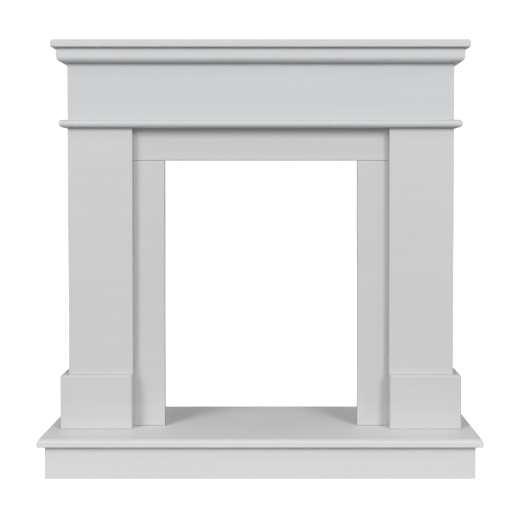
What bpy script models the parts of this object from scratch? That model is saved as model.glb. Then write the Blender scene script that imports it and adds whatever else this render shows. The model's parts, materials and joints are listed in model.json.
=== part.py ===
"""A painted board fireplace surround on its hearth: shelf, bed moulding, frieze, astragal, legs and plinths.

All lengths are metres. The part stands on z = 0 with its back towards +y, and the middle of its
footprint is the origin. Every board is a solid of its true thickness. Where two boards touch, the one
that is laid later is cut short by JOINT_GAP.
"""

from math import radians

import bmesh
import bpy
from mathutils import Vector

# Hearth: a slab on a box of four boards, both reaching out past the body of the surround
HEARTH_SIDE_MARGIN = 0.049
HEARTH_FRONT_MARGIN = 0.114
HEARTH_SLAB_THICKNESS = 0.018
HEARTH_SLAB_ROUND = 0.007
HEARTH_OVERHANG = 0.015
HEARTH_BASE_HEIGHT = 0.0735
HEARTH_BASE_BOARD = 0.018

# Body of the surround: the legs and the frieze share its outer faces
BODY_WIDTH = 0.892
BODY_DEPTH = 0.226
BODY_BOARD = 0.018

# Legs: each is a box of three boards, open at the back
LEG_WIDTH = 0.149
LEG_HEIGHT = 0.6955

# Plinths: boards on the front and the outer side of each leg's foot
PLINTH_HEIGHT = 0.125
PLINTH_BOARD = 0.017
PLINTH_ROUND = 0.004

# Inner frame round the fire opening: a header over two stiles
FRAME_SETBACK = 0.018
FRAME_BOARD = 0.018
FRAME_HEADER_HEIGHT = 0.075
FRAME_STILE_WIDTH = 0.0725

# Astragal: a board with a half-round nose, between the legs and the frieze
ASTRAGAL_THICKNESS = 0.018
ASTRAGAL_PROJECTION = 0.0175
ASTRAGAL_NOSE_FLAT = 0.0004

# Frieze: a box of three boards, open at the back
FRIEZE_HEIGHT = 0.1635

# Bed moulding: three lengths under the shelf, mitred at the front corners
BED_MOULD_HEIGHT = 0.032
BED_MOULD_PROJECTION = 0.0215
BED_MOULD_ROUND = 0.012

# Mantel shelf
SHELF_THICKNESS = 0.018
SHELF_OVERHANG = 0.0325
SHELF_TOP_ROUND = 0.006
SHELF_BOTTOM_ROUND = 0.003

# Shared by all the boards
ARRIS = 0.0015
ARRIS_SEGMENTS = 3
PROFILE_SEGMENTS = 8
SHARP_DEGREES = 30
JOINT_GAP = 0.0003

# Levels, from the floor up
HEARTH_TOP = HEARTH_BASE_HEIGHT + HEARTH_SLAB_THICKNESS
LEG_TOP = HEARTH_TOP + LEG_HEIGHT
ASTRAGAL_TOP = LEG_TOP + ASTRAGAL_THICKNESS
FRIEZE_TOP = ASTRAGAL_TOP + FRIEZE_HEIGHT
SHELF_TOP = FRIEZE_TOP + SHELF_THICKNESS
HEADER_BOTTOM = LEG_TOP - FRAME_HEADER_HEIGHT
PLINTH_TOP = HEARTH_TOP + PLINTH_HEIGHT
BED_MOULD_BOTTOM = FRIEZE_TOP - BED_MOULD_HEIGHT

# Upright planes, measured from the middle of the hearth
BODY_SIDE = BODY_WIDTH / 2
HEARTH_SIDE = BODY_SIDE + HEARTH_SIDE_MARGIN
BACK = (BODY_DEPTH + HEARTH_FRONT_MARGIN) / 2
HEARTH_FRONT = -BACK
BODY_FRONT = BACK - BODY_DEPTH
LEG_INNER_SIDE = BODY_SIDE - LEG_WIDTH
BEHIND_FRONT_BOARD = BODY_FRONT + BODY_BOARD + JOINT_GAP
FRAME_FRONT = BODY_FRONT + FRAME_SETBACK
FRAME_BACK = FRAME_FRONT + FRAME_BOARD
FRAME_SIDE = LEG_INNER_SIDE - JOINT_GAP

# Linear colours of the finishes, with their roughness
FINISHES = {
    "shelf_paint": ((0.66, 0.67, 0.68), 0.38),
    "moulding_paint": ((0.65, 0.66, 0.67), 0.38),
    "frieze_paint": ((0.64, 0.65, 0.66), 0.40),
    "leg_paint": ((0.63, 0.64, 0.65), 0.40),
    "plinth_paint": ((0.65, 0.66, 0.67), 0.40),
    "frame_paint": ((0.62, 0.63, 0.64), 0.42),
    "hearth_paint": ((0.67, 0.68, 0.69), 0.36),
    "primer": ((0.60, 0.60, 0.60), 0.60),
}

# The low face and the high face of a board along x, y and z
FACE_PAIRS = (("left", "right"), ("front", "back"), ("bottom", "top"))
SIDES = ("left", "right")


def clear_scene():
    for old in list(bpy.data.objects):
        bpy.data.objects.remove(old)


def make_collection(name):
    collection = bpy.data.collections.new(name)
    bpy.context.scene.collection.children.link(collection)
    return collection


def make_finish(name):
    colour, roughness = FINISHES[name]
    material = bpy.data.materials.new(name)
    material.use_nodes = True
    shader = material.node_tree.nodes["Principled BSDF"]
    shader.inputs["Base Color"].default_value = (*colour, 1.0)
    shader.inputs["Roughness"].default_value = roughness
    shader.inputs["Metallic"].default_value = 0.0
    return material


def add_holder(collection, name, location):
    """Adds an empty that carries the boards of one part of the object."""
    holder = bpy.data.objects.new(name, None)
    holder.location = location
    collection.objects.link(holder)
    return holder


def outward(face):
    """The unit vector that the named face of a board looks along."""
    return Vector([(face == high) - (face == low) for low, high in FACE_PAIRS])


def on_face(point, face):
    """Tells whether a corner of a board centred on its own origin lies on the named face."""
    return point.dot(outward(face)) > 0


def weigh_edges(form, rounds):
    """Gives each edge named by its two faces its share of the largest radius, and returns that radius."""
    largest = max(rounds.values())
    weight = form.edges.layers.float.new("bevel_weight_edge")
    for edge in form.edges:
        for faces, radius in rounds.items():
            if all(on_face(end.co, face) for end in edge.verts for face in faces):
                edge[weight] = radius / largest
    return largest


def draw_out(form, mitres):
    """Draws each mitred end out by its length on the board's outer face."""
    for end, (outer, length) in mitres.items():
        for corner in form.verts:
            if on_face(corner.co, end) and on_face(corner.co, outer):
                corner.co += length * outward(end)


def add_rounding(board, radius, segments):
    rounding = board.modifiers.new("Rounding", "BEVEL")
    rounding.limit_method = "WEIGHT"
    rounding.width = radius
    rounding.segments = segments
    rounding.harden_normals = True


def add_board(holder, name, low, high, finish, rounds, segments=ARRIS_SEGMENTS, mitres=None):
    """Adds one board between two corners of the object's space.

    rounds maps the two faces that meet at an edge to the edge's radius. mitres maps a mitred end to the
    outer face of the moulding and the length that the end is drawn out there.
    """
    low, high = Vector(low), Vector(high)
    form = bmesh.new()
    bmesh.ops.create_cube(form, size=1.0)
    bmesh.ops.scale(form, vec=high - low, verts=form.verts)
    largest = weigh_edges(form, rounds)
    draw_out(form, mitres or {})
    mesh = bpy.data.meshes.new(name)
    form.to_mesh(mesh)
    form.free()
    mesh.shade_smooth()
    mesh.set_sharp_from_angle(angle=radians(SHARP_DEGREES))
    mesh.materials.append(finish)
    board = bpy.data.objects.new(name, mesh)
    board.parent = holder
    board.location = (low + high) / 2 - holder.location
    holder.users_collection[0].objects.link(board)
    add_rounding(board, largest, segments)


def between(side, inner, outer):
    """The lowest and highest x of a piece between two distances from the middle, on one side."""
    direction = outward(side).x
    return sorted((direction * inner, direction * outer))


def other(side):
    return "left" if side == "right" else "right"


def three_edges(level, radius):
    """The front edge and both end edges of a board's top or bottom face."""
    return {("front", level): radius, ("left", level): radius, ("right", level): radius}


def front_corners(radius):
    return {("front", "left"): radius, ("front", "right"): radius}


def make_hearth(holder, paint, primer):
    """A slab with a rounded upper edge, on a base of four boards that stands in under it."""
    base_side = HEARTH_SIDE - HEARTH_OVERHANG
    base_front = HEARTH_FRONT + HEARTH_OVERHANG
    behind_front = base_front + HEARTH_BASE_BOARD
    before_back = BACK - HEARTH_BASE_BOARD
    add_board(
        holder, "hearth_slab",
        (-HEARTH_SIDE, HEARTH_FRONT, HEARTH_BASE_HEIGHT + JOINT_GAP),
        (HEARTH_SIDE, BACK, HEARTH_TOP),
        paint,
        {**three_edges("top", HEARTH_SLAB_ROUND), **three_edges("bottom", ARRIS), **front_corners(ARRIS)},
        PROFILE_SEGMENTS,
    )
    add_board(
        holder, "hearth_base_front",
        (-base_side, base_front, 0.0),
        (base_side, behind_front, HEARTH_BASE_HEIGHT),
        paint, front_corners(ARRIS),
    )
    add_board(
        holder, "hearth_base_back",
        (-base_side, before_back, 0.0),
        (base_side, BACK, HEARTH_BASE_HEIGHT),
        primer, {("back", "left"): ARRIS, ("back", "right"): ARRIS},
    )
    for side in SIDES:
        low_x, high_x = between(side, base_side - HEARTH_BASE_BOARD, base_side)
        add_board(
            holder, f"hearth_base_side_{side}",
            (low_x, behind_front + JOINT_GAP, 0.0),
            (high_x, before_back - JOINT_GAP, HEARTH_BASE_HEIGHT),
            paint, {(side, "bottom"): ARRIS},
        )


def make_leg(holder, side, paint, primer):
    """A front board with an outer and an inner side board behind it."""
    foot = HEARTH_TOP + JOINT_GAP
    low_x, high_x = between(side, LEG_INNER_SIDE, BODY_SIDE)
    add_board(
        holder, f"leg_{side}_front",
        (low_x, BODY_FRONT, foot),
        (high_x, BODY_FRONT + BODY_BOARD, LEG_TOP),
        paint, front_corners(ARRIS),
    )
    low_x, high_x = between(side, BODY_SIDE - BODY_BOARD, BODY_SIDE)
    add_board(
        holder, f"leg_{side}_outer_side",
        (low_x, BEHIND_FRONT_BOARD, foot),
        (high_x, BACK, LEG_TOP),
        paint, {(side, "back"): ARRIS},
    )
    low_x, high_x = between(side, LEG_INNER_SIDE, LEG_INNER_SIDE + BODY_BOARD)
    add_board(
        holder, f"leg_{side}_inner_side",
        (low_x, BEHIND_FRONT_BOARD, foot),
        (high_x, BACK, LEG_TOP),
        primer, {(other(side), "back"): ARRIS},
    )


def make_plinth(holder, side, paint):
    """A board on the front of the leg's foot, over the end of a board on its outer side."""
    foot = HEARTH_TOP + JOINT_GAP
    low_x, high_x = between(side, LEG_INNER_SIDE, BODY_SIDE + PLINTH_BOARD)
    add_board(
        holder, f"plinth_{side}_front",
        (low_x, BODY_FRONT - PLINTH_BOARD, foot),
        (high_x, BODY_FRONT - JOINT_GAP, PLINTH_TOP),
        paint, {**three_edges("top", PLINTH_ROUND), **front_corners(PLINTH_ROUND)},
    )
    low_x, high_x = between(side, BODY_SIDE + JOINT_GAP, BODY_SIDE + PLINTH_BOARD)
    add_board(
        holder, f"plinth_{side}_outer_side",
        (low_x, BODY_FRONT, foot),
        (high_x, BACK, PLINTH_TOP),
        paint, {(side, "top"): PLINTH_ROUND, (side, "back"): ARRIS},
    )


def make_frame(holder, paint):
    """A header across the whole space between the legs, on a stile beside each leg."""
    add_board(
        holder, "frame_header",
        (-FRAME_SIDE, FRAME_FRONT, HEADER_BOTTOM),
        (FRAME_SIDE, FRAME_BACK, LEG_TOP),
        paint, {("front", "bottom"): ARRIS, ("back", "bottom"): ARRIS},
    )
    for side in SIDES:
        low_x, high_x = between(side, LEG_INNER_SIDE - FRAME_STILE_WIDTH, FRAME_SIDE)
        add_board(
            holder, f"frame_stile_{side}",
            (low_x, FRAME_FRONT, HEARTH_TOP + JOINT_GAP),
            (high_x, FRAME_BACK, HEADER_BOTTOM - JOINT_GAP),
            paint, {("front", other(side)): ARRIS, ("back", other(side)): ARRIS},
        )


def make_astragal(holder, paint):
    """A board over the legs and the header, with a half-round nose at its front and both ends."""
    bottom = LEG_TOP + JOINT_GAP
    reach = BODY_SIDE + ASTRAGAL_PROJECTION
    nose_round = (ASTRAGAL_TOP - bottom - ASTRAGAL_NOSE_FLAT) / 2
    add_board(
        holder, "astragal",
        (-reach, BODY_FRONT - ASTRAGAL_PROJECTION, bottom),
        (reach, BACK, ASTRAGAL_TOP),
        paint,
        {**three_edges("top", nose_round), **three_edges("bottom", nose_round)},
        PROFILE_SEGMENTS,
    )


def make_frieze(holder, paint):
    """A front board with a side board behind each of its ends."""
    bottom = ASTRAGAL_TOP + JOINT_GAP
    add_board(
        holder, "frieze_front",
        (-BODY_SIDE, BODY_FRONT, bottom),
        (BODY_SIDE, BODY_FRONT + BODY_BOARD, FRIEZE_TOP),
        paint, front_corners(ARRIS),
    )
    for side in SIDES:
        low_x, high_x = between(side, BODY_SIDE - BODY_BOARD, BODY_SIDE)
        add_board(
            holder, f"frieze_side_{side}",
            (low_x, BEHIND_FRONT_BOARD, bottom),
            (high_x, BACK, FRIEZE_TOP),
            paint, {(side, "back"): ARRIS},
        )


def make_bed_mould(holder, paint):
    """A front length and two returns, with a rounded lower edge, planted on the top of the frieze."""
    reach = BED_MOULD_PROJECTION - JOINT_GAP
    add_board(
        holder, "bed_mould_front",
        (-BODY_SIDE, BODY_FRONT - BED_MOULD_PROJECTION, BED_MOULD_BOTTOM),
        (BODY_SIDE, BODY_FRONT - JOINT_GAP, FRIEZE_TOP),
        paint, {("front", "bottom"): BED_MOULD_ROUND},
        PROFILE_SEGMENTS,
        {"left": ("front", reach), "right": ("front", reach)},
    )
    for side in SIDES:
        low_x, high_x = between(side, BODY_SIDE + JOINT_GAP, BODY_SIDE + BED_MOULD_PROJECTION)
        add_board(
            holder, f"bed_mould_return_{side}",
            (low_x, BODY_FRONT, BED_MOULD_BOTTOM),
            (high_x, BACK, FRIEZE_TOP),
            paint, {(side, "bottom"): BED_MOULD_ROUND},
            PROFILE_SEGMENTS,
            {"front": (side, reach)},
        )


def make_shelf(holder, paint):
    """A board with its front and ends rounded, more above than below."""
    reach = BODY_SIDE + SHELF_OVERHANG
    add_board(
        holder, "mantel_shelf",
        (-reach, BODY_FRONT - SHELF_OVERHANG, FRIEZE_TOP + JOINT_GAP),
        (reach, BACK, SHELF_TOP),
        paint,
        {
            **three_edges("top", SHELF_TOP_ROUND),
            **three_edges("bottom", SHELF_BOTTOM_ROUND),
            **front_corners(ARRIS),
        },
        PROFILE_SEGMENTS,
    )


def main():
    clear_scene()
    collection = make_collection("fireplace_mantelpiece")
    finish = {name: make_finish(name) for name in FINISHES}

    hearth = add_holder(collection, "hearth", (0.0, 0.0, 0.0))
    make_hearth(hearth, finish["hearth_paint"], finish["primer"])

    surround = add_holder(collection, "surround", (0.0, BACK, HEARTH_TOP))
    for side in SIDES:
        leg = add_holder(collection, f"leg_{side}", (outward(side).x * BODY_SIDE, BACK, HEARTH_TOP))
        make_leg(leg, side, finish["leg_paint"], finish["primer"])
        make_plinth(leg, side, finish["plinth_paint"])
    make_frame(surround, finish["frame_paint"])
    make_astragal(surround, finish["moulding_paint"])
    make_frieze(surround, finish["frieze_paint"])
    make_bed_mould(surround, finish["moulding_paint"])
    make_shelf(surround, finish["shelf_paint"])


main()
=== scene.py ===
"""The finished boards, mouldings and paint of a fireplace surround on its hearth.

All lengths are metres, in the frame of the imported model: z = 0 is the floor, +y the wall behind. Each
board is made to the box of the board that it stands for, with finer rounded edges and a paint of its own.
"""

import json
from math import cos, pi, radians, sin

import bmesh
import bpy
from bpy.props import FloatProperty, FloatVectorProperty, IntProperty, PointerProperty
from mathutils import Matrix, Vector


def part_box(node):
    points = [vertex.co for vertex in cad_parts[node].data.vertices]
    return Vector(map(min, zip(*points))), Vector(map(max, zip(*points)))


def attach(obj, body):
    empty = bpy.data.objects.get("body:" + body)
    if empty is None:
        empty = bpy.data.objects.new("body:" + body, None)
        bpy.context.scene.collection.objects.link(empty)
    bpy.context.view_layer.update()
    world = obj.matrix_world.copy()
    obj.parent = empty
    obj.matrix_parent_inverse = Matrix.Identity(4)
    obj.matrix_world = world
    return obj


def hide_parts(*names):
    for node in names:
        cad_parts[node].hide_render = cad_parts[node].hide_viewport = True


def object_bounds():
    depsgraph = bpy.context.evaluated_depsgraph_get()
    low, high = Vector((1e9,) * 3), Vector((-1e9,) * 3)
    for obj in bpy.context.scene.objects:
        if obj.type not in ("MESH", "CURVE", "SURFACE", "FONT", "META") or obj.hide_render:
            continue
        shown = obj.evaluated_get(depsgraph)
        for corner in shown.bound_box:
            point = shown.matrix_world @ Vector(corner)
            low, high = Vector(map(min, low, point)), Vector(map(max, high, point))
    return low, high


bl_info = {
    "name": "Painted Fireplace Surround",
    "version": (1, 0, 0),
    "blender": (4, 5, 0),
    "location": "View3D > Sidebar > Surround",
    "description": "Finished boards, mouldings and paint for a fireplace surround on its hearth",
    "category": "Object",
}

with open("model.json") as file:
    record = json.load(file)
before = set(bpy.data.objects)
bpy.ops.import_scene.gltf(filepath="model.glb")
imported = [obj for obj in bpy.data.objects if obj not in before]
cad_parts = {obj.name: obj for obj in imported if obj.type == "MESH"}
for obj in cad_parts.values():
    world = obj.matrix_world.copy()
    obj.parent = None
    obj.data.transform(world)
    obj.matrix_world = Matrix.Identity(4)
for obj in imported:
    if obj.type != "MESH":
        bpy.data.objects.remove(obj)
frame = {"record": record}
CAD_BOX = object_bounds()

RECORD_COLOUR = {entry["slot"]: entry["base_color"] for entry in frame["record"]["materials"]}
SIDES = ("left", "right")

# The low face and the high face of a board along x, y and z
FACE_PAIRS = (("left", "right"), ("front", "back"), ("bottom", "top"))

# Edges that turn more than this are square and stay crisp
CRISP_ANGLE = radians(30)

# The roller's stipple is a fine pattern and a coarse one, by their shares of its height. The coarse one
# repeats less often than the fine one, by COARSE_RATE.
FINE_SHARE = 0.7
COARSE_SHARE = 0.3
COARSE_RATE = 0.3

# How closely each pattern of the finishes repeats, per metre
DRIFT_SCALE = 5.0
PATCH_SCALE = 3.0
EDGE_SHADE_SCALE = 30.0
DUST_SCALE = 9.0
FIBRE_SCALE = 700.0
FLECK_SCALE = 160.0

# The drift of tone is scaled by this along x, y and z, so its streaks lie level
DRIFT_LIE = (0.5, 1.0, 6.0)

# The drift in streaks and the one in round patches, by their shares of the paint's tone
DRIFT_SHARE = 0.6
PATCH_SHARE = 0.4

# What a noise pattern comes to on average
NOISE_MEAN = 0.5

# How much the round patches, the edges under the painted edge shade and the dust change the paint's roughness
PATCH_ROUGHNESS = 0.08
EDGE_POLISH = 0.06
DUST_ROUGHNESS = 0.1
PAINT_IOR = 1.48

# Dust and bare fibre over the coat below, by their share and their tone in red, green and blue
DUST_SHARE = 0.12
DUST_TONE = (0.94, 0.93, 0.9)
FIBRE_SHARE = 0.3
FIBRE_TONE = (0.86, 0.82, 0.76)

# The primer's darkest and lightest tone, how far its roughness goes to either side, and its fibres' height
PRIMER_DARK = 0.95
PRIMER_LIGHT = 1.04
PRIMER_SPREAD = 0.06
FIBRE_HEIGHT = 0.0001
FIBRE_STRENGTH = 0.8

WHITE = (1.0, 1.0, 1.0, 1.0)


def length(name, description, default):
    """A size that shows in the sidebar."""
    return FloatProperty(
        name=name, description=description, default=default, min=0.0, unit="LENGTH", precision=5
    )


def colour(name, description, default):
    """A linear colour that shows in the sidebar."""
    return FloatVectorProperty(
        name=name, description=description, default=default, min=0.0, max=1.0, subtype="COLOR"
    )


def share(name, description, default):
    """A value from 0 to 1 that shows in the sidebar."""
    return FloatProperty(name=name, description=description, default=default, min=0.0, max=1.0)


def power(name, description, default):
    """A lamp's power that shows in the sidebar."""
    return FloatProperty(name=name, description=description, default=default, min=0.0, unit="POWER")


class SurroundSizes(bpy.types.PropertyGroup):
    """The rounded edges of the boards and mouldings."""

    shelf_top_round: length("Shelf Top Round", "Radius of the mantel shelf's upper edge", 0.006)
    shelf_bottom_round: length("Shelf Bottom Round", "Radius of the mantel shelf's lower edge", 0.003)
    nose_flat: length("Nose Flat", "Upright flat in the middle of the astragal's half-round nose", 0.0004)
    bed_mould_round: length("Bed Mould Round", "Radius of the bed moulding's lower edge", 0.012)
    slab_round: length("Slab Round", "Radius of the hearth slab's upper edge", 0.007)
    plinth_round: length("Plinth Round", "Radius of the plinths' upper and upright edges", 0.004)
    corner_round: length("Corner Round", "Radius in plan of the moulded boards' front corners", 0.0025)
    arris: length("Arris", "Radius of the sanded edges of the flat boards", 0.0015)
    foot_round: length("Foot Round", "Radius of the lower edges that meet the hearth", 0.0018)
    sawn_edge: length("Sawn Edge", "Radius of the edges left as the saw made them", 0.0003)
    round_rows: IntProperty(
        name="Round Rows", description="Rows of faces across a moulded edge", default=12, min=2, max=32
    )
    arris_rows: IntProperty(
        name="Arris Rows", description="Rows of faces across a sanded edge", default=5, min=1, max=16
    )


class SurroundFinish(bpy.types.PropertyGroup):
    """The paint on each group of boards."""

    # The groups are one grey paint, each toned to the brightness it shows under the light. The differences
    # between them, most of all the hearth's lighter tone, are painted light and shade.
    shelf: colour("Shelf", "Paint on the mantel shelf", RECORD_COLOUR["shelf"])
    mouldings: colour("Mouldings", "Paint on the bed moulding and the astragal", RECORD_COLOUR["mouldings"])
    frieze: colour("Frieze", "Paint on the frieze", RECORD_COLOUR["frieze"])
    legs: colour("Legs", "Paint on the legs", RECORD_COLOUR["legs"])
    plinths: colour("Plinths", "Paint on the plinths", RECORD_COLOUR["plinths"])
    inner_frame: colour("Inner Frame", "Paint on the frame round the opening", RECORD_COLOUR["inner_frame"])
    hearth: colour("Hearth", "Paint on the hearth", RECORD_COLOUR["hearth"])
    primed_boards: colour("Primer", "Primer on the hidden faces", RECORD_COLOUR["primed_boards"])
    paint_roughness: share("Paint Roughness", "Roughness of the satin paint", 0.52)
    primer_roughness: share("Primer Roughness", "Roughness of the matt primer", 0.68)
    stipple_size: length("Stipple Size", "Distance between the bumps that the roller leaves", 0.0014)
    stipple_depth: length("Stipple Depth", "Depth of the roller's stipple", 0.00006)
    unevenness: share("Unevenness", "How much the paint's tone drifts over a board", 0.05)
    # Painted shade: the upper and upright edges are darkened to damp the highlights that their rounds catch.
    # The plinths are darkened less, so that their upper edge keeps a highlight.
    edge_shade_tone: share("Edge Tone", "Tone of the upper and upright edges, where the paint is sanded thin", 0.84)
    plinth_edge_shade_tone: share("Plinth Edge Tone", "The same on the plinths, which were sanded less", 0.95)
    # Painted shade: the primer on the faces round the opening is darkened for the shade that falls on them.
    opening_shade_tone: share("Opening Tone", "Tone of the primer on the faces round the opening", 0.55)


class SurroundStudio(bpy.types.PropertyGroup):
    """The floor, the lights and the camera."""

    floor_colour: colour("Floor", "Colour of the studio floor", (0.93, 0.93, 0.93))
    floor_bounce: share("Floor Bounce", "Share of the light that the floor throws back at the object", 0.4)
    floor_glow: share("Floor Glow", "How white the floor at the object's foot is by itself", 0.65)
    surround_light: share("Surround Light", "Strength of the white walls round the object", 0.03)
    left_key: power("Left Key", "Tall softbox in front, on the left", 335.0)
    left_fill: power("Left Fill", "Softbox further round to the left", 59.0)
    left_high: power("Left High", "Small softbox high up on the left", 85.0)
    right_key: power("Right Key", "Tall softbox in front, on the right", 376.0)
    right_fill: power("Right Fill", "Softbox further round to the right", 72.0)
    overhead: power("Overhead", "Softbox straight above", 27.0)
    rear: power("Rear", "Wide softbox above and behind", 22.0)
    rear_left: power("Rear Left", "Low softbox behind, on the left", 75.0)
    rear_right: power("Rear Right", "Low softbox behind, on the right", 80.0)
    lens: FloatProperty(name="Lens", description="Focal length in millimetres", default=70.66, min=1.0)


def put(tree, socket, value):
    """Fills an input with a number, a colour, a field or another node's output."""
    if isinstance(value, Field):
        value = value.socket
    if isinstance(value, bpy.types.NodeSocket):
        tree.links.new(value, socket)
    else:
        socket.default_value = value


def add_node(tree, kind, inputs=None, **options):
    """Adds a node with its options set and its inputs filled by name or number."""
    node = tree.nodes.new(kind)
    for option, value in options.items():
        setattr(node, option, value)
    for name, value in (inputs or {}).items():
        put(tree, node.inputs[name], value)
    return node


class Field:
    """An output of a node tree that can be added, multiplied and compared as a number can."""

    def __init__(self, tree, socket):
        self.tree = tree
        self.socket = socket

    def calculate(self, operation, *values):
        node = add_node(self.tree, "ShaderNodeMath", dict(enumerate(values)), operation=operation)
        return Field(self.tree, node.outputs[0])

    def __add__(self, other):
        return self.calculate("ADD", self, other)

    def __sub__(self, other):
        return self.calculate("SUBTRACT", self, other)

    def __mul__(self, other):
        return self.calculate("MULTIPLY", self, other)

    def __truediv__(self, other):
        return self.calculate("DIVIDE", self, other)

    def __mod__(self, other):
        return self.calculate("FLOORED_MODULO", self, other)

    def __gt__(self, other):
        return self.calculate("GREATER_THAN", self, other)

    def __lt__(self, other):
        return self.calculate("LESS_THAN", self, other)

    def __abs__(self):
        return self.calculate("ABSOLUTE", self)

    def taken_from(self, other):
        return self.calculate("SUBTRACT", other, self)

    def into(self, other):
        """How many times the field goes into a number."""
        return self.calculate("DIVIDE", other, self)

    def floor(self):
        return self.calculate("FLOOR", self)

    def sine(self):
        return self.calculate("SINE", self)

    def cosine(self):
        return self.calculate("COSINE", self)

    def at_least(self, other):
        return self.calculate("MAXIMUM", self, other)

    def sign(self):
        """1 where the field is 1 and -1 where it is 0."""
        return self * 2.0 - 1.0


def start_group(name, kind, inputs, outputs):
    """Starts a node tree with named sockets, and returns it with its inputs as fields."""
    tree = bpy.data.node_groups.new(name, kind)
    for title, socket_kind, default in inputs:
        socket = tree.interface.new_socket(name=title, in_out="INPUT", socket_type=socket_kind)
        if default is not None:
            socket.default_value = default
    for title, socket_kind in outputs:
        tree.interface.new_socket(name=title, in_out="OUTPUT", socket_type=socket_kind)
    entry = tree.nodes.new("NodeGroupInput")
    fields = {title: Field(tree, entry.outputs[title]) for title, socket_kind, default in inputs}
    return tree, fields


def end_group(tree, **results):
    """Joins the results to the tree's outputs, whose names have spaces for the underscores."""
    leave = tree.nodes.new("NodeGroupOutput")
    for name, value in results.items():
        put(tree, leave.inputs[name.replace("_", " ")], value)
    return tree


FLOAT = "NodeSocketFloat"
WHOLE = "NodeSocketInt"
VECTOR = "NodeSocketVector"
GEOMETRY = "NodeSocketGeometry"
MATERIAL = "NodeSocketMaterial"


def rounded_outline_group():
    """Places the point of that number on a rectangle with four rounded corners, counted against the clock.

    Each corner has one point more than it has rows, and a radius of its own. Corner 0 is right and high, 1
    left and high, 2 left and low, and 3 right and low.
    """
    tree, given = start_group(
        "Rounded Outline", "GeometryNodeTree",
        [
            ("Number", FLOAT, 0.0), ("Rows", FLOAT, 8.0),
            ("Left", FLOAT, -1.0), ("Right", FLOAT, 1.0), ("Low", FLOAT, -1.0), ("High", FLOAT, 1.0),
            ("Right High", FLOAT, 0.0), ("Left High", FLOAT, 0.0),
            ("Left Low", FLOAT, 0.0), ("Right Low", FLOAT, 0.0),
        ],
        [("Across", FLOAT), ("Up", FLOAT)],
    )
    points = given["Rows"] + 1.0
    corner = (given["Number"] / points).floor()
    angle = (corner + (given["Number"] % points) / given["Rows"]) * (pi / 2)
    is_left = (corner > 0.5) * (corner < 2.5)
    is_low = corner > 1.5
    is_high = is_low.taken_from(1.0)
    is_right = is_left.taken_from(1.0)
    radius = (
        is_high * (is_right * given["Right High"] + is_left * given["Left High"])
        + is_low * (is_right * given["Right Low"] + is_left * given["Left Low"])
    )
    side = is_right * given["Right"] + is_left * given["Left"]
    level = is_high * given["High"] + is_low * given["Low"]
    across = side - is_right.sign() * radius + angle.cosine() * radius
    up = level - is_high.sign() * radius + angle.sine() * radius
    return end_group(tree, Across=across, Up=up)


def finish_tree(tree, geometry, finish):
    """Ends a tree: smooths the rounds, keeps the square edges crisp and sets the finish."""
    angle = add_node(tree, "GeometryNodeInputMeshEdgeAngle")
    is_square = Field(tree, angle.outputs["Unsigned Angle"]) > CRISP_ANGLE
    smooth = add_node(tree, "GeometryNodeSetShadeSmooth", {"Geometry": geometry})
    crisp = add_node(
        tree, "GeometryNodeSetShadeSmooth",
        {"Geometry": smooth.outputs["Geometry"], "Selection": is_square, "Shade Smooth": False},
        domain="EDGE",
    )
    real = add_node(tree, "GeometryNodeRealizeInstances", {"Geometry": crisp.outputs["Geometry"]})
    dressed = add_node(
        tree, "GeometryNodeSetMaterial", {"Geometry": real.outputs["Geometry"], "Material": finish}
    )
    return end_group(tree, Geometry=dressed.outputs["Geometry"])


def moulded_board_tree(outline):
    """A board whose upper and lower edges are rounded along its front and both ends, and not at its back."""
    tree, given = start_group(
        "Moulded Board", "GeometryNodeTree",
        [
            ("Half Width", FLOAT, 0.5), ("Front", FLOAT, 0.0), ("Back", FLOAT, 0.3),
            ("Bottom", FLOAT, 0.0), ("Top", FLOAT, 0.018),
            ("Top Round", FLOAT, 0.006), ("Bottom Round", FLOAT, 0.003),
            ("Corner Round", FLOAT, 0.0025), ("Sawn Edge", FLOAT, 0.0003),
            ("Rows", WHOLE, 12), ("Finish", MATERIAL, None),
        ],
        [("Geometry", GEOMETRY)],
    )
    rows = given["Rows"]
    around = (rows + 1.0) * 4.0
    blank = add_node(
        tree, "GeometryNodeMeshCylinder", {"Vertices": around, "Side Segments": rows * 2.0 + 1.0}
    )
    index = Field(tree, add_node(tree, "GeometryNodeInputIndex").outputs[0])
    ring = (index / around).floor()
    is_lower = ring > rows + 0.5
    turn = (ring - is_lower) / rows * (pi / 2)
    radius = given["Top Round"] + is_lower * (given["Bottom Round"] - given["Top Round"])
    inset = radius * turn.sine().taken_from(1.0)
    rise = radius * abs(turn.cosine()).taken_from(1.0)
    height = given["Top"] - rise + is_lower * (given["Bottom"] - given["Top"] + rise * 2.0)
    front_corner = (given["Corner Round"] - inset).at_least(given["Sawn Edge"])
    plan = add_node(tree, "GeometryNodeGroup", node_tree=outline)
    for name, value in {
        "Number": index % around, "Rows": rows,
        "Left": inset - given["Half Width"], "Right": given["Half Width"] - inset,
        "Low": given["Front"] + inset, "High": given["Back"],
        "Right High": given["Sawn Edge"], "Left High": given["Sawn Edge"],
        "Left Low": front_corner, "Right Low": front_corner,
    }.items():
        put(tree, plan.inputs[name], value)
    place = add_node(
        tree, "ShaderNodeCombineXYZ",
        {"X": plan.outputs["Across"], "Y": plan.outputs["Up"], "Z": height},
    )
    shaped = add_node(
        tree, "GeometryNodeSetPosition",
        {"Geometry": blank.outputs["Mesh"], "Position": place.outputs["Vector"]},
    )
    return finish_tree(tree, shaped.outputs["Geometry"], given["Finish"])


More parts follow.
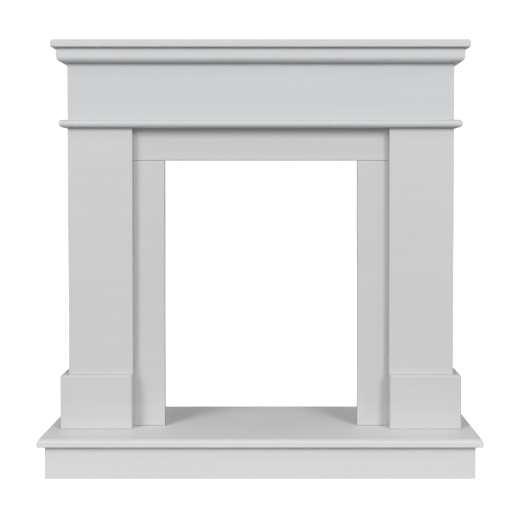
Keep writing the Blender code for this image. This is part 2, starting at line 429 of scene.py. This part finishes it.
def mitred_length_tree(outline):
    """A length of moulding that runs along x on a face that looks along -y, with its ends mitred or square.

    It is then turned about z and moved to its place.
    """
    tree, given = start_group(
        "Mitred Length", "GeometryNodeTree",
        [
            ("Start", FLOAT, -0.5), ("End", FLOAT, 0.5),
            ("Start Mitre", FLOAT, 1.0), ("End Mitre", FLOAT, 1.0),
            ("Reach", FLOAT, 0.02), ("Bottom", FLOAT, 0.0), ("Top", FLOAT, 0.03),
            ("Lower Round", FLOAT, 0.012), ("Sawn Edge", FLOAT, 0.0003),
            ("Turn", VECTOR, (0.0, 0.0, 0.0)), ("Place", VECTOR, (0.0, 0.0, 0.0)),
            ("Rows", WHOLE, 12), ("Finish", MATERIAL, None),
        ],
        [("Geometry", GEOMETRY)],
    )
    rows = given["Rows"]
    around = (rows + 1.0) * 4.0
    blank = add_node(tree, "GeometryNodeMeshCylinder", {"Vertices": around, "Side Segments": 1})
    index = Field(tree, add_node(tree, "GeometryNodeInputIndex").outputs[0])
    is_end = (index / around).floor()
    is_start = is_end.taken_from(1.0)
    profile = add_node(tree, "GeometryNodeGroup", node_tree=outline)
    for name, value in {
        "Number": index % around, "Rows": rows,
        "Left": 0.0, "Right": given["Reach"], "Low": given["Bottom"], "High": given["Top"],
        "Right High": given["Sawn Edge"], "Left High": given["Sawn Edge"],
        "Left Low": given["Sawn Edge"], "Right Low": given["Lower Round"],
    }.items():
        put(tree, profile.inputs[name], value)
    outward = Field(tree, profile.outputs["Across"])
    along = (
        is_start * (given["Start"] - given["Start Mitre"] * outward)
        + is_end * (given["End"] + given["End Mitre"] * outward)
    )
    place = add_node(
        tree, "ShaderNodeCombineXYZ",
        {"X": along, "Y": outward * -1.0, "Z": profile.outputs["Up"]},
    )
    shaped = add_node(
        tree, "GeometryNodeSetPosition",
        {"Geometry": blank.outputs["Mesh"], "Position": place.outputs["Vector"]},
    )
    laid = add_node(
        tree, "GeometryNodeTransform",
        {
            "Geometry": shaped.outputs["Geometry"],
            "Translation": given["Place"], "Rotation": given["Turn"],
        },
    )
    return finish_tree(tree, laid.outputs["Geometry"], given["Finish"])


def noise(tree, place, scale, detail, roughness=0.5, seed=None):
    """A noise pattern as a field. Each seed gives a pattern of its own."""
    inputs = {"Vector": place, "Scale": scale, "Detail": detail, "Roughness": roughness}
    if seed is None:
        pattern = add_node(tree, "ShaderNodeTexNoise", inputs)
    else:
        pattern = add_node(tree, "ShaderNodeTexNoise", {**inputs, "W": seed}, noise_dimensions="4D")
    return Field(tree, pattern.outputs["Fac"])


def roller_group():
    """The fine stipple that a foam roller leaves, and the slow drift of tone over a board."""
    tree, given = start_group(
        "Roller Paint", "ShaderNodeTree",
        [("Place", VECTOR, None), ("Stipple Size", FLOAT, 0.0014), ("Seed", FLOAT, 0.0)],
        [("Height", FLOAT), ("Drift", FLOAT), ("Patch", FLOAT)],
    )
    place, size, seed = given["Place"], given["Stipple Size"], given["Seed"]
    fine = noise(tree, place, size.into(1.0), detail=1.0, roughness=0.4, seed=seed)
    coarse = noise(tree, place, size.into(COARSE_RATE), detail=1.0, seed=seed)
    lie = add_node(tree, "ShaderNodeMapping", {"Vector": place, "Scale": DRIFT_LIE})
    drift = noise(tree, lie.outputs["Vector"], DRIFT_SCALE, detail=3.0, seed=seed)
    patch = noise(tree, place, PATCH_SCALE, detail=2.0, seed=seed)
    return end_group(
        tree, Height=fine * FINE_SHARE + coarse * COARSE_SHARE, Drift=drift, Patch=patch
    )


def edge_shade_group():
    """A mask of the rounded edges that don't look down, from how far the surface turns off the three axes. It
    places the painted shade that damps the highlights these edges catch.
    """
    tree, given = start_group(
        "Sanded Edges", "ShaderNodeTree",
        [("Facing", VECTOR, None), ("Place", VECTOR, None), ("Breadth", FLOAT, 0.25)],
        [("Mask", FLOAT)],
    )
    parts = add_node(tree, "ShaderNodeSeparateXYZ", {"Vector": given["Facing"]})
    x, y, z = (abs(Field(tree, output)) for output in parts.outputs)
    turned = x.at_least(y).at_least(z).taken_from(1.0)
    uneven = noise(tree, given["Place"], EDGE_SHADE_SCALE, detail=2.0) + (1.0 - NOISE_MEAN)
    edge = add_node(
        tree, "ShaderNodeMapRange",
        {"Value": turned * uneven, "From Max": given["Breadth"]},
        interpolation_type="SMOOTHSTEP",
    )
    reached = add_node(
        tree, "ShaderNodeMapRange", {"Value": parts.outputs["Z"], "From Min": -0.5, "From Max": 0.0}
    )
    mask = Field(tree, edge.outputs["Result"]) * reached.outputs["Result"]
    return end_group(tree, Mask=mask)


def dust_group():
    """A mask of what settles on the faces that look up."""
    tree, given = start_group(
        "Settled Dust", "ShaderNodeTree",
        [("Facing", VECTOR, None), ("Place", VECTOR, None)],
        [("Mask", FLOAT)],
    )
    parts = add_node(tree, "ShaderNodeSeparateXYZ", {"Vector": given["Facing"]})
    level = add_node(
        tree, "ShaderNodeMapRange",
        {"Value": parts.outputs["Z"], "From Min": 0.6, "From Max": 1.0},
    )
    cloud = noise(tree, given["Place"], DUST_SCALE, detail=6.0)
    return end_group(tree, Mask=cloud * level.outputs["Result"])


def fibre_group():
    """The short fibres of pressed board that show through a thin coat."""
    tree, given = start_group(
        "Board Fibre", "ShaderNodeTree",
        [("Place", VECTOR, None)],
        [("Height", FLOAT), ("Fleck", FLOAT)],
    )
    fibres = noise(tree, given["Place"], FIBRE_SCALE, detail=5.0, roughness=0.7)
    flecks = noise(tree, given["Place"], FLECK_SCALE, detail=3.0, roughness=0.6)
    fleck = add_node(
        tree, "ShaderNodeMapRange", {"Value": flecks, "From Min": NOISE_MEAN, "From Max": 0.75}
    )
    return end_group(tree, Height=fibres, Fleck=fleck.outputs["Result"])


# The trees and groups that more than one piece uses, each made once
GROUP_MAKERS = {
    "Rounded Outline": rounded_outline_group,
    "Roller Paint": roller_group,
    "Sanded Edges": edge_shade_group,
    "Settled Dust": dust_group,
    "Board Fibre": fibre_group,
    "Moulded Board": lambda: moulded_board_tree(shared("Rounded Outline")),
    "Mitred Length": lambda: mitred_length_tree(shared("Rounded Outline")),
}


def shared(name):
    """The tree or group of that name, made the first time it is asked for."""
    return bpy.data.node_groups.get(name) or GROUP_MAKERS[name]()


def known_as(sockets, identifier):
    """The socket with that identifier, on a node with several sockets of one name."""
    return next(socket for socket in sockets if socket.identifier == identifier)


def mixed(tree, amount, low, high):
    """A colour that goes from low to high as the amount goes from 0 to 1."""
    mix = add_node(tree, "ShaderNodeMix", {"Factor": amount}, data_type="RGBA")
    put(tree, known_as(mix.inputs, "A_Color"), low)
    put(tree, known_as(mix.inputs, "B_Color"), high)
    return known_as(mix.outputs, "Result_Color")


def ranged(tree, value, low, high):
    """The value, which runs from 0 to 1, laid out between low and high."""
    return add_node(
        tree, "ShaderNodeMapRange", {"Value": value, "To Min": low, "To Max": high}
    ).outputs["Result"]


def tinted(base, factor):
    """A colour scaled by one factor, with its alpha."""
    return (*[channel * factor for channel in base], 1.0)


def toned(base, tone):
    """A colour scaled by one factor for each channel, with its alpha."""
    return (*[channel * factor for channel, factor in zip(base, tone)], 1.0)


def start_material(name):
    """An empty material with its shader, and the object's place and facing in its tree."""
    material = bpy.data.materials.new(name)
    material.use_nodes = True
    tree = material.node_tree
    coordinates = add_node(tree, "ShaderNodeTexCoord")
    return material, tree, tree.nodes["Principled BSDF"], coordinates


def paint(slot):
    """Satin paint laid on by roller: a fine stipple, a slow drift of tone, painted shade on the upper and
    upright edges that damps their highlights, and a little dust.
    """
    name = f"{slot}_paint"
    if name in bpy.data.materials:
        return bpy.data.materials[name]
    finish = bpy.context.scene.surround_finish
    base = getattr(finish, slot)
    material, tree, shader, coordinates = start_material(name)
    place, facing = coordinates.outputs["Object"], coordinates.outputs["Normal"]
    roller = add_node(tree, "ShaderNodeGroup", node_tree=shared("Roller Paint"))
    put(tree, roller.inputs["Place"], place)
    put(tree, roller.inputs["Stipple Size"], finish.stipple_size)
    put(tree, roller.inputs["Seed"], float(list(RECORD_COLOUR).index(slot)))
    edges = add_node(tree, "ShaderNodeGroup", node_tree=shared("Sanded Edges"))
    put(tree, edges.inputs["Facing"], facing)
    put(tree, edges.inputs["Place"], place)
    dust = add_node(tree, "ShaderNodeGroup", node_tree=shared("Settled Dust"))
    put(tree, dust.inputs["Facing"], facing)
    put(tree, dust.inputs["Place"], place)

    along, patch = Field(tree, roller.outputs["Drift"]), Field(tree, roller.outputs["Patch"])
    edge, dusted = Field(tree, edges.outputs["Mask"]), Field(tree, dust.outputs["Mask"])
    drift = along * DRIFT_SHARE + patch * PATCH_SHARE
    tone = mixed(
        tree, drift, tinted(base, 1.0 - finish.unevenness), tinted(base, 1.0 + finish.unevenness)
    )
    # Painted shade on the upper and upright edges, which damps their highlights. It is lighter on the
    # plinths, so that their upper edge keeps a highlight.
    edge_shade_tone = finish.plinth_edge_shade_tone if slot == "plinths" else finish.edge_shade_tone
    shaded_edge_colour = mixed(tree, edge, tone, tinted(base, edge_shade_tone))
    put(tree, shader.inputs["Base Color"], mixed(tree, dusted * DUST_SHARE, shaded_edge_colour, toned(base, DUST_TONE)))
    roughness = (
        patch * PATCH_ROUGHNESS - edge * EDGE_POLISH + dusted * DUST_ROUGHNESS
        + (finish.paint_roughness - PATCH_ROUGHNESS / 2)
    )
    put(tree, shader.inputs["Roughness"], roughness)
    shader.inputs["IOR"].default_value = PAINT_IOR
    bump = add_node(
        tree, "ShaderNodeBump",
        {"Height": roller.outputs["Height"], "Distance": finish.stipple_depth, "Strength": 1.0},
    )
    put(tree, shader.inputs["Normal"], bump.outputs["Normal"])
    return material


def primer(name="board_primer", shade=1.0):
    """A thin matt coat, darkened by the shade factor, which paints shade in where it is below 1, with the
    board's fibres showing through.
    """
    if name in bpy.data.materials:
        return bpy.data.materials[name]
    finish = bpy.context.scene.surround_finish
    base = [channel * shade for channel in finish.primed_boards]
    material, tree, shader, coordinates = start_material(name)
    fibre = add_node(tree, "ShaderNodeGroup", node_tree=shared("Board Fibre"))
    put(tree, fibre.inputs["Place"], coordinates.outputs["Object"])
    roller = add_node(tree, "ShaderNodeGroup", node_tree=shared("Roller Paint"))
    put(tree, roller.inputs["Place"], coordinates.outputs["Object"])
    tone = mixed(tree, roller.outputs["Patch"], tinted(base, PRIMER_DARK), tinted(base, PRIMER_LIGHT))
    fleck = Field(tree, fibre.outputs["Fleck"]) * FIBRE_SHARE
    put(tree, shader.inputs["Base Color"], mixed(tree, fleck, tone, toned(base, FIBRE_TONE)))
    smoothest = finish.primer_roughness - PRIMER_SPREAD
    roughest = finish.primer_roughness + PRIMER_SPREAD
    put(tree, shader.inputs["Roughness"], ranged(tree, roller.outputs["Drift"], smoothest, roughest))
    bump = add_node(
        tree, "ShaderNodeBump",
        {"Height": fibre.outputs["Height"], "Distance": FIBRE_HEIGHT, "Strength": FIBRE_STRENGTH},
    )
    put(tree, shader.inputs["Normal"], bump.outputs["Normal"])
    return material


# The cosine above which a face counts as looking straight along a side
SQUARE_ON = 0.999


def outward(face):
    """The unit vector that the named face of a board looks along."""
    return Vector([(face == high) - (face == low) for low, high in FACE_PAIRS])


def other(side):
    return "left" if side == "right" else "right"


def plain_mesh(piece):
    """Turns a piece with its modifiers into one plain mesh with its place in it."""
    seen = piece.evaluated_get(bpy.context.evaluated_depsgraph_get())
    mesh = bpy.data.meshes.new_from_object(seen)
    if not mesh.polygons:
        raise RuntimeError(f"{piece.name} came out empty")
    piece.modifiers.clear()
    old = piece.data
    piece.data = mesh
    bpy.data.meshes.remove(old)
    mesh.name = piece.name
    if mesh.materials[0] is None:
        mesh.materials.pop(index=0)


def dress(piece, sides, finish):
    """Gives the flat faces that look along the named sides a finish of their own."""
    added = len(piece.data.materials)
    piece.data.materials.append(finish)
    ways = [outward(side) for side in sides]
    for face in piece.data.polygons:
        if any(face.normal.dot(way) > SQUARE_ON for way in ways):
            face.material_index = added


def hand_over(piece, node, coats):
    """Makes a piece plain, puts a coat on each group of its sides and lets it stand for its board."""
    plain_mesh(piece)
    for sides, finish in coats.items():
        dress(piece, sides, finish)
    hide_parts(node)
    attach(piece, "root")


def start_piece(node, slot, mesh=None):
    """An object at the origin, named for its board and its finish."""
    name = f"{node}_primed" if slot == "primed_boards" else f"{node}_painted"
    piece = bpy.data.objects.new(name, mesh or bpy.data.meshes.new(name))
    bpy.context.scene.collection.objects.link(piece)
    return piece


def grow(piece, tree_name, inputs):
    """Runs a shared tree on a piece with its inputs set, and keeps the rounds' shading even."""
    growth = piece.modifiers.new("Shape", "NODES")
    growth.node_group = shared(tree_name)
    for socket in growth.node_group.interface.items_tree:
        if socket.item_type == "SOCKET" and socket.in_out == "INPUT":
            growth[socket.identifier] = inputs[socket.name]
    shading = piece.modifiers.new("Shading", "WEIGHTED_NORMAL")
    shading.keep_sharp = True


def moulded_board(node, slot, top_round, bottom_round, corner_round):
    """A board with its front and both ends moulded."""
    low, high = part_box(node)
    sizes = bpy.context.scene.surround_sizes
    piece = start_piece(node, slot)
    grow(piece, "Moulded Board", {
        "Half Width": high.x, "Front": low.y, "Back": high.y, "Bottom": low.z, "Top": high.z,
        "Top Round": top_round, "Bottom Round": bottom_round,
        "Corner Round": corner_round, "Sawn Edge": sizes.sawn_edge,
        "Rows": sizes.round_rows, "Finish": paint(slot),
    })
    hand_over(piece, node, {("back",): primer()})


def sawn_board(node, slot, rounds, hidden=("back",), rows=None, more_coats=None):
    """A flat painted board with its hidden faces primed.

    rounds gives the radius of each rounded edge, under the names of its two faces, and more_coats gives
    the finish of any other sides, under their names.
    """
    piece = rounded_blank(node, slot, rounds, paint(slot), rows)
    hand_over(piece, node, {hidden: primer(), **(more_coats or {})})


def primed_board(node, rounds, coats=None):
    """A flat board that is primed all over, except for any sides with a coat of their own."""
    piece = rounded_blank(node, "primed_boards", rounds, primer())
    hand_over(piece, node, coats or {})


def rounded_blank(node, slot, rounds, finish, rows=None):
    """A flat board with the modifier that rounds its edges."""
    low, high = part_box(node)
    sizes = bpy.context.scene.surround_sizes
    largest = max(rounds.values())
    form = bmesh.new()
    bmesh.ops.create_cube(form, size=1.0)
    weight = form.edges.layers.float.new("bevel_weight_edge")
    for edge in form.edges:
        edge[weight] = sizes.sawn_edge / largest
        for faces, radius in rounds.items():
            if all(end.co.dot(outward(face)) > 0 for end in edge.verts for face in faces):
                edge[weight] = radius / largest
    bmesh.ops.scale(form, vec=high - low, verts=form.verts)
    bmesh.ops.translate(form, vec=(low + high) / 2, verts=form.verts)
    mesh = bpy.data.meshes.new(f"{node}_blank")
    form.to_mesh(mesh)
    form.free()
    mesh.shade_smooth()
    mesh.materials.append(finish)
    piece = start_piece(node, slot, mesh)
    rounding = piece.modifiers.new("Rounding", "BEVEL")
    rounding.limit_method = "WEIGHT"
    rounding.width = largest
    rounding.segments = rows or sizes.arris_rows
    rounding.harden_normals = True
    return piece


def front_corners(radius):
    return {("front", "left"): radius, ("front", "right"): radius}


def three_edges(level, radius):
    return {("front", level): radius, ("left", level): radius, ("right", level): radius}


class SURROUND_OT_shelf(bpy.types.Operator):
    """Makes the mantel shelf, rounded more above than below."""

    bl_idname = "surround.shelf"
    bl_label = "Mantel Shelf"

    def execute(self, context):
        sizes = context.scene.surround_sizes
        moulded_board(
            "mantel_shelf", "shelf", sizes.shelf_top_round, sizes.shelf_bottom_round, sizes.corner_round
        )
        return {"FINISHED"}


# How far a length of moulding grows at an end for each metre outwards from its wall
MITRED = 1.0
SQUARE = 0.0


class SURROUND_OT_bed_moulding(bpy.types.Operator):
    """Makes the three lengths of bed moulding, mitred at the front corners."""

    bl_idname = "surround.bed_moulding"
    bl_label = "Bed Moulding"

    def execute(self, context):
        low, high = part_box("bed_mould_front")
        reach = high.y - low.y
        levels = (low.z, high.z)
        self.add_length(
            "bed_mould_front", reach, levels, ends=(low.x + reach, high.x - reach),
            mitres=(MITRED, MITRED), turn=0.0, place=(0.0, high.y, 0.0),
        )
        low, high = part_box("bed_mould_return_right")
        self.add_length(
            "bed_mould_return_right", reach, levels, ends=(low.y + reach, high.y),
            mitres=(MITRED, SQUARE), turn=pi / 2, place=(low.x, 0.0, 0.0),
        )
        low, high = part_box("bed_mould_return_left")
        self.add_length(
            "bed_mould_return_left", reach, levels, ends=(-high.y, -low.y - reach),
            mitres=(SQUARE, MITRED), turn=-pi / 2, place=(high.x, 0.0, 0.0),
        )
        return {"FINISHED"}

    def add_length(self, node, reach, levels, ends, mitres, turn, place):
        sizes = bpy.context.scene.surround_sizes
        piece = start_piece(node, "mouldings")
        grow(piece, "Mitred Length", {
            "Start": ends[0], "End": ends[1], "Start Mitre": mitres[0], "End Mitre": mitres[1],
            "Reach": reach, "Bottom": levels[0], "Top": levels[1],
            "Lower Round": sizes.bed_mould_round, "Sawn Edge": sizes.sawn_edge,
            "Turn": (0.0, 0.0, turn), "Place": place,
            "Rows": sizes.round_rows, "Finish": paint("mouldings"),
        })
        hand_over(piece, node, {("back",): primer()})


class SURROUND_OT_frieze(bpy.types.Operator):
    """Makes the frieze from a front board and two side boards."""

    bl_idname = "surround.frieze"
    bl_label = "Frieze"

    def execute(self, context):
        arris = context.scene.surround_sizes.arris
        sawn_board("frieze_front", "frieze", front_corners(arris))
        for side in SIDES:
            sawn_board(
                f"frieze_side_{side}", "frieze", {(side, "back"): arris}, ("back", other(side))
            )
        return {"FINISHED"}


class SURROUND_OT_astragal(bpy.types.Operator):
    """Makes the astragal, with its half-round nose."""

    bl_idname = "surround.astragal"
    bl_label = "Astragal"

    def execute(self, context):
        sizes = context.scene.surround_sizes
        low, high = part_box("astragal")
        nose = (high.z - low.z - sizes.nose_flat) / 2
        moulded_board("astragal", "mouldings", nose, nose, sizes.corner_round)
        return {"FINISHED"}


class SURROUND_OT_legs(bpy.types.Operator):
    """Makes both legs, each from a front board with two side boards behind it."""

    bl_idname = "surround.legs"
    bl_label = "Legs"

    def execute(self, context):
        arris = context.scene.surround_sizes.arris
        for side in SIDES:
            sawn_board(f"leg_{side}_front", "legs", front_corners(arris))
            sawn_board(
                f"leg_{side}_outer_side", "legs", {(side, "back"): arris}, ("back", other(side))
            )
            primed_board(f"leg_{side}_inner_side", {(other(side), "back"): arris})
        return {"FINISHED"}


class SURROUND_OT_plinths(bpy.types.Operator):
    """Makes the boards that wrap the foot of each leg."""

    bl_idname = "surround.plinths"
    bl_label = "Plinths"

    def execute(self, context):
        sizes = context.scene.surround_sizes
        for side in SIDES:
            sawn_board(
                f"plinth_{side}_front", "plinths",
                {
                    **three_edges("top", sizes.plinth_round), **front_corners(sizes.plinth_round),
                    ("front", "bottom"): sizes.foot_round,
                },
                rows=sizes.round_rows,
            )
            sawn_board(
                f"plinth_{side}_outer_side", "plinths",
                {
                    (side, "top"): sizes.plinth_round, (side, "back"): sizes.arris,
                    (side, "bottom"): sizes.foot_round,
                },
                rows=sizes.round_rows,
            )
        return {"FINISHED"}


class SURROUND_OT_inner_frame(bpy.types.Operator):
    """Makes the header and the two stiles round the opening."""

    bl_idname = "surround.inner_frame"
    bl_label = "Inner Frame"

    def execute(self, context):
        sizes = context.scene.surround_sizes
        arris = sizes.arris
        # Painted shade: the faces round the opening get a darker primer for the shade that falls on them.
        opening_shade_coat = primer("opening_primer", context.scene.surround_finish.opening_shade_tone)
        sawn_board(
            "frame_header", "inner_frame", {("front", "bottom"): arris, ("back", "bottom"): arris},
            more_coats={("bottom",): opening_shade_coat},
        )
        for side in SIDES:
            sawn_board(
                f"frame_stile_{side}", "inner_frame",
                {
                    ("front", other(side)): arris, ("back", other(side)): arris,
                    ("front", "top"): arris, ("front", "bottom"): sizes.foot_round,
                },
                more_coats={(other(side),): opening_shade_coat},
            )
        return {"FINISHED"}


class SURROUND_OT_hearth(bpy.types.Operator):
    """Makes the hearth slab and the four boards that it lies on."""

    bl_idname = "surround.hearth"
    bl_label = "Hearth"

    def execute(self, context):
        sizes = context.scene.surround_sizes
        moulded_board("hearth_slab", "hearth", sizes.slab_round, sizes.arris, sizes.corner_round)
        sawn_board("hearth_base_front", "hearth", front_corners(sizes.arris))
        primed_board(
            "hearth_base_back", {("back", side): sizes.arris for side in SIDES}, {SIDES: paint("hearth")}
        )
        for side in SIDES:
            sawn_board(
                f"hearth_base_side_{side}", "hearth", {(side, "bottom"): sizes.arris},
                ("back", other(side)),
            )
        return {"FINISHED"}


# The studio's fixed places and its matt floor
FLOOR_HALF = 12.0
FLOOR_ROUGHNESS = 0.8
CAMERA_PLACE = (0.0419, -2.4152, 0.6594)
CAMERA_TILT = 1.256
CAMERA_SHIFT = (-0.0365, -0.105)
AIM = (0.0, 0.0, 0.5)

# Each softbox by azimuth and elevation in degrees, distance, width and height. Azimuth 0 is in front of the
# object and 90 at its right.
SOFTBOXES = {
    "left_key": (-35.0, 21.0, 9.0, 3.9, 4.2),
    "left_fill": (-55.0, 26.0, 9.0, 2.4, 3.0),
    "left_high": (-38.0, 55.0, 9.0, 1.8, 1.8),
    "right_key": (32.0, 26.0, 9.0, 2.9, 3.9),
    "right_fill": (60.0, 15.0, 9.0, 2.1, 2.1),
    "overhead": (0.0, 88.0, 4.0, 2.0, 2.0),
    "rear": (180.0, 35.0, 5.0, 4.0, 2.0),
    "rear_left": (-125.0, 0.0, 5.0, 2.0, 0.8),
    "rear_right": (125.0, 0.0, 5.0, 2.0, 0.8),
}

# The floor grows to pure white between these distances, as multiples of the footprint's half width and half
# depth, so that no horizon shows
GLOW_START = 1.0
GLOW_END = 3.0

# The strength of what the camera sees behind the object, a little over pure white
SEEN_WHITE = 1.05


def make_floor(studio):
    """A plain pale floor."""
    form = bmesh.new()
    bmesh.ops.create_grid(form, x_segments=1, y_segments=1, size=FLOOR_HALF)
    mesh = bpy.data.meshes.new("studio_floor")
    form.to_mesh(mesh)
    form.free()
    floor = bpy.data.objects.new("studio_floor", mesh)
    bpy.context.scene.collection.objects.link(floor)
    material, tree, shader, coordinates = start_material("pale_floor")
    seen = Field(tree, add_node(tree, "ShaderNodeLightPath").outputs["Is Camera Ray"])
    base = studio.floor_colour
    put(
        tree, shader.inputs["Base Color"],
        mixed(tree, seen, tinted(base, studio.floor_bounce), tinted(base, 1.0)),
    )
    shader.inputs["Roughness"].default_value = FLOOR_ROUGHNESS
    shader.inputs["Emission Color"].default_value = WHITE
    footprint = (CAD_BOX[1].x, CAD_BOX[1].y, 1.0)
    paces = add_node(
        tree, "ShaderNodeVectorMath", {0: coordinates.outputs["Object"], 1: footprint}, operation="DIVIDE"
    )
    away = add_node(tree, "ShaderNodeVectorMath", {0: paces.outputs["Vector"]}, operation="LENGTH")
    glow = add_node(
        tree, "ShaderNodeMapRange",
        {
            "Value": away.outputs["Value"], "From Min": GLOW_START, "From Max": GLOW_END,
            "To Min": studio.floor_glow, "To Max": SEEN_WHITE,
        },
        interpolation_type="SMOOTHSTEP",
    )
    put(tree, shader.inputs["Emission Strength"], seen * glow.outputs["Result"])
    mesh.materials.append(material)


def make_surround_light(studio):
    """White walls all round, which light the object faintly and which the camera sees as pure white."""
    world = bpy.data.worlds.new("white_studio")
    bpy.context.scene.world = world
    world.use_nodes = True
    tree = world.node_tree
    tree.nodes.clear()
    seen = add_node(tree, "ShaderNodeLightPath")
    soft = add_node(
        tree, "ShaderNodeBackground", {"Color": WHITE, "Strength": studio.surround_light}
    )
    white = add_node(tree, "ShaderNodeBackground", {"Color": WHITE, "Strength": SEEN_WHITE})
    mix = add_node(
        tree, "ShaderNodeMixShader",
        {0: seen.outputs["Is Camera Ray"], 1: soft.outputs[0], 2: white.outputs[0]},
    )
    add_node(tree, "ShaderNodeOutputWorld", {"Surface": mix.outputs[0]})


def add_softbox(name, watts):
    """A soft rectangular light that looks at the object and that the camera doesn't see."""
    azimuth, elevation, distance, width, height = SOFTBOXES[name]
    light = bpy.data.lights.new(name, "AREA")
    light.shape = "RECTANGLE"
    light.size = width
    light.size_y = height
    light.energy = watts
    lamp = bpy.data.objects.new(name, light)
    lamp.visible_camera = False
    bpy.context.scene.collection.objects.link(lamp)
    across, up = radians(azimuth), radians(elevation)
    way = Vector((sin(across) * cos(up), -cos(across) * cos(up), sin(up)))
    lamp.location = Vector(AIM) + way * distance
    lamp.rotation_euler = way.to_track_quat("Z", "Y").to_euler()


def make_camera(studio):
    """A long lens at the height of the legs' upper half, with the small shift that the framing needs."""
    camera = bpy.data.cameras.new("camera")
    camera.lens = studio.lens
    camera.shift_x, camera.shift_y = CAMERA_SHIFT
    holder = bpy.data.objects.new("camera", camera)
    bpy.context.scene.collection.objects.link(holder)
    holder.location = CAMERA_PLACE
    holder.rotation_euler = (radians(90.0 - CAMERA_TILT), 0.0, 0.0)
    bpy.context.scene.camera = holder


class SURROUND_OT_studio(bpy.types.Operator):
    """Makes the pale floor, the soft lights and the camera."""

    bl_idname = "surround.studio"
    bl_label = "Studio"

    def execute(self, context):
        studio = context.scene.surround_studio
        make_floor(studio)
        make_surround_light(studio)
        for name in SOFTBOXES:
            add_softbox(name, getattr(studio, name))
        make_camera(studio)
        context.scene.view_settings.view_transform = "Standard"
        return {"FINISHED"}


STEPS = (
    SURROUND_OT_hearth,
    SURROUND_OT_legs,
    SURROUND_OT_plinths,
    SURROUND_OT_inner_frame,
    SURROUND_OT_astragal,
    SURROUND_OT_frieze,
    SURROUND_OT_bed_moulding,
    SURROUND_OT_shelf,
    SURROUND_OT_studio,
)

# Each group of settings, under the name that the scene keeps it by
SETTINGS = {
    "surround_sizes": SurroundSizes,
    "surround_finish": SurroundFinish,
    "surround_studio": SurroundStudio,
}


class VIEW3D_PT_surround(bpy.types.Panel):
    """Lists the settings and the steps in the sidebar."""

    bl_idname = "VIEW3D_PT_surround"
    bl_label = "Fireplace Surround"
    bl_space_type = "VIEW_3D"
    bl_region_type = "UI"
    bl_category = "Surround"

    def draw(self, context):
        for key, group in SETTINGS.items():
            box = self.layout.box()
            for name in group.__annotations__:
                box.prop(getattr(context.scene, key), name)
        for step in STEPS:
            self.layout.operator(step.bl_idname)


CLASSES = (*SETTINGS.values(), *STEPS, VIEW3D_PT_surround)


def register():
    for made in CLASSES:
        bpy.utils.register_class(made)
    for key, group in SETTINGS.items():
        setattr(bpy.types.Scene, key, PointerProperty(type=group))


def unregister():
    for key in SETTINGS:
        delattr(bpy.types.Scene, key)
    for made in reversed(CLASSES):
        bpy.utils.unregister_class(made)


def main():
    register()
    bpy.ops.surround.hearth()
    bpy.ops.surround.legs()
    bpy.ops.surround.plinths()
    bpy.ops.surround.inner_frame()
    bpy.ops.surround.astragal()
    bpy.ops.surround.frieze()
    bpy.ops.surround.bed_moulding()
    bpy.ops.surround.shelf()
    bpy.ops.surround.studio()


if __name__ == "__main__":
    main()
